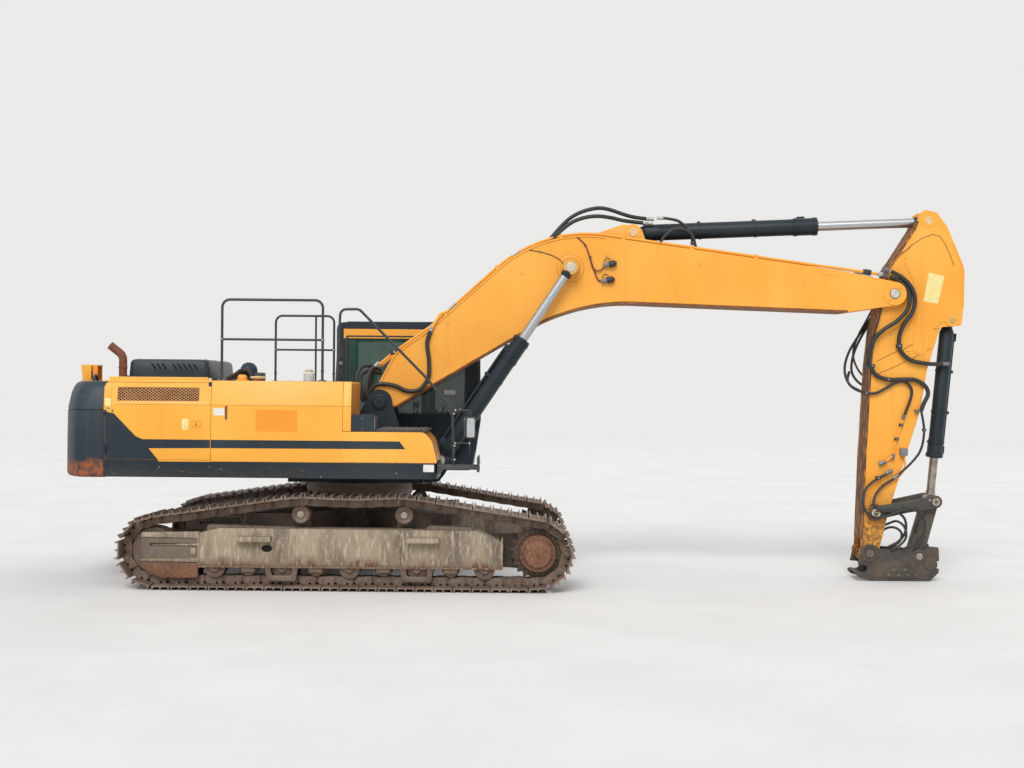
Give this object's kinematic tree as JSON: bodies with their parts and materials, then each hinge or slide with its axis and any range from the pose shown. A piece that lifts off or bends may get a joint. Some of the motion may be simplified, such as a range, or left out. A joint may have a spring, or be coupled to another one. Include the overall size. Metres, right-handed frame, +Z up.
{
  "type": "crawler excavator",
  "caption": "Crawler excavator with a swinging upper structure, boom, arm, hydraulic cylinders and a quick coupler at the arm's tip.",
  "frame": {"origin": "on the ground, under the middle of the machine's length as it stands with boom and arm at rest; the swing axis stands 1.95 m behind it", "axes": "+X forward along the boom, +Y to the left side, where the cab stands, +Z up"},
  "size_m": [11.0116, 3.34, 4.5829],
  "materials": {
    "body_paint": "yellow-orange enamel, satin, a little faded",
    "slate_paint": "dark slate enamel, satin",
    "undercarriage_paint": "worn beige-grey paint with rust and dry mud",
    "track_steel": "rusted and worn steel",
    "chrome_rod": "polished chrome",
    "coupler_steel": "dark worn steel with rust",
    "tinted_glass": "green-tinted safety glass",
    "cab_trim": "dark seat cloth and moulded trim"
  },
  "bodies": {
    "lower": {"lower_frame": "undercarriage_paint", "track_frame_left": "undercarriage_paint", "track_frame_right": "undercarriage_paint", "track_left": "track_steel", "track_right": "track_steel", "sprockets": "track_steel", "final_drives": "track_steel", "idlers": "track_steel", "track_rollers": "track_steel", "carrier_rollers": "undercarriage_paint", "swing_ring": "undercarriage_paint"},
    "house": {"house_frame": "slate_paint", "counterweight": "slate_paint", "engine": "slate_paint", "rear_housing": "body_paint", "fuel_tank": "body_paint", "toolbox": "body_paint", "step_plate": "slate_paint", "filler_box": "slate_paint", "front_step": "slate_paint", "exhaust_pipe": "track_steel", "camera_hood": "body_paint", "handrails": "slate_paint", "mirrors": "slate_paint", "cab_shell": "slate_paint", "cab_glass": "tinted_glass", "seat": "cab_trim", "console": "cab_trim"},
    "pump_door": {"pump_door": "body_paint"},
    "cooler_door": {"cooler_door": "body_paint"},
    "filter_door": {"filter_door": "body_paint"},
    "engine_hood": {"engine_hood": "slate_paint"},
    "cab_door": {"cab_door": "slate_paint", "door_glass": "tinted_glass"},
    "boom": {"boom": "body_paint", "boom_pipes": "body_paint"},
    "boom_barrels": {"boom_barrels": "slate_paint"},
    "boom_rods": {"boom_rods": "chrome_rod"},
    "arm": {"arm": "body_paint"},
    "arm_barrel": {"arm_barrel": "slate_paint"},
    "arm_rod": {"arm_rod": "chrome_rod"},
    "bucket_barrel": {"bucket_barrel": "slate_paint"},
    "bucket_rod": {"bucket_rod": "chrome_rod"},
    "rocker": {"rocker": "slate_paint"},
    "power_link": {"power_link": "slate_paint"},
    "coupler": {"coupler": "coupler_steel"}
  },
  "joints": [
    {"name": "swing", "type": "hinge", "parent": "lower", "child": "house", "pos_m": [-1.95, 0, 1.175], "axis": [0, 0, 1], "continuous": true},
    {"name": "boom_lift", "type": "hinge", "parent": "house", "child": "boom", "pos_m": [-1.688, 0, 2.152], "axis": [0, -1, 0], "range_deg": [-42, 51]},
    {"name": "boom_cylinder_turn", "type": "hinge", "parent": "house", "child": "boom_barrels", "pos_m": [-0.93, 0, 1.45], "axis": [0, -1, 0], "range_deg": [-40, 48]},
    {"name": "boom_rod_slide", "type": "slide", "parent": "boom_barrels", "child": "boom_rods", "axis": [0.5537, 0, 0.8327], "range_m": [-0.72, 0.87]},
    {"name": "arm_swing", "type": "hinge", "parent": "boom", "child": "arm", "pos_m": [4.632, 0, 3.5369], "axis": [0, 1, 0], "range_deg": [-74, 47]},
    {"name": "arm_cylinder_turn", "type": "hinge", "parent": "boom", "child": "arm_barrel", "pos_m": [1.4196, 0, 4.2795], "axis": [0, 1, 0], "range_deg": [-6, 4]},
    {"name": "arm_rod_slide", "type": "slide", "parent": "arm_barrel", "child": "arm_rod", "axis": [0.9989, 0, 0.0469], "range_m": [-1.12, 0.71]},
    {"name": "coupler_curl", "type": "hinge", "parent": "arm", "child": "coupler", "pos_m": [4.3618, 0, 0.3383], "axis": [0, 1, 0], "range_deg": [-42, 105]},
    {"name": "rocker_turn", "type": "hinge", "parent": "arm", "child": "rocker", "pos_m": [4.4263, 0, 0.8407], "axis": [0, 1, 0], "range_deg": [-34, 84]},
    {"name": "link_turn", "type": "hinge", "parent": "coupler", "child": "power_link", "pos_m": [4.9729, 0, 0.3063], "axis": [0, 1, 0], "range_deg": [-75, 31]},
    {"name": "bucket_cylinder_turn", "type": "hinge", "parent": "arm", "child": "bucket_barrel", "pos_m": [5.3675, 0, 3.2269], "axis": [0, 1, 0], "range_deg": [-2, 4]},
    {"name": "bucket_rod_slide", "type": "slide", "parent": "bucket_barrel", "child": "bucket_rod", "axis": [-0.0917, 0, -0.9958], "range_m": [-0.36, 0.9]},
    {"name": "pump_door_hinge", "type": "hinge", "parent": "house", "child": "pump_door", "pos_m": [-4.73, -1.502, 1.9], "axis": [0, 0, -1], "range_deg": [0, 100]},
    {"name": "cooler_door_hinge", "type": "hinge", "parent": "house", "child": "cooler_door", "pos_m": [-4.73, 1.502, 1.9], "axis": [0, 0, 1], "range_deg": [0, 100]},
    {"name": "filter_door_hinge", "type": "hinge", "parent": "house", "child": "filter_door", "pos_m": [-3.55, 1.502, 1.9], "axis": [0, 0, 1], "range_deg": [0, 100]},
    {"name": "engine_hood_hinge", "type": "hinge", "parent": "house", "child": "engine_hood", "pos_m": [-3.668, 0, 2.402], "axis": [0, 1, 0], "range_deg": [0, 60]},
    {"name": "cab_door_hinge", "type": "hinge", "parent": "house", "child": "cab_door", "pos_m": [-2.22, 1.502, 2.2], "axis": [0, 0, 1], "range_deg": [0, 150]}
  ],
  "couplings": [
    {"joint": "boom_cylinder_turn", "follows": "boom_lift", "ratio": 0.92},
    {"joint": "boom_rod_slide", "follows": "boom_lift", "m_per_rad": 0.974},
    {"joint": "arm_cylinder_turn", "follows": "arm_swing", "ratio": 0.07},
    {"joint": "arm_rod_slide", "follows": "arm_swing", "m_per_rad": 0.8594},
    {"joint": "rocker_turn", "follows": "coupler_curl", "ratio": 0.79},
    {"joint": "link_turn", "follows": "coupler_curl", "ratio": -0.7},
    {"joint": "bucket_cylinder_turn", "follows": "coupler_curl", "ratio": 0.03},
    {"joint": "bucket_rod_slide", "follows": "coupler_curl", "m_per_rad": 0.487}
  ]
}
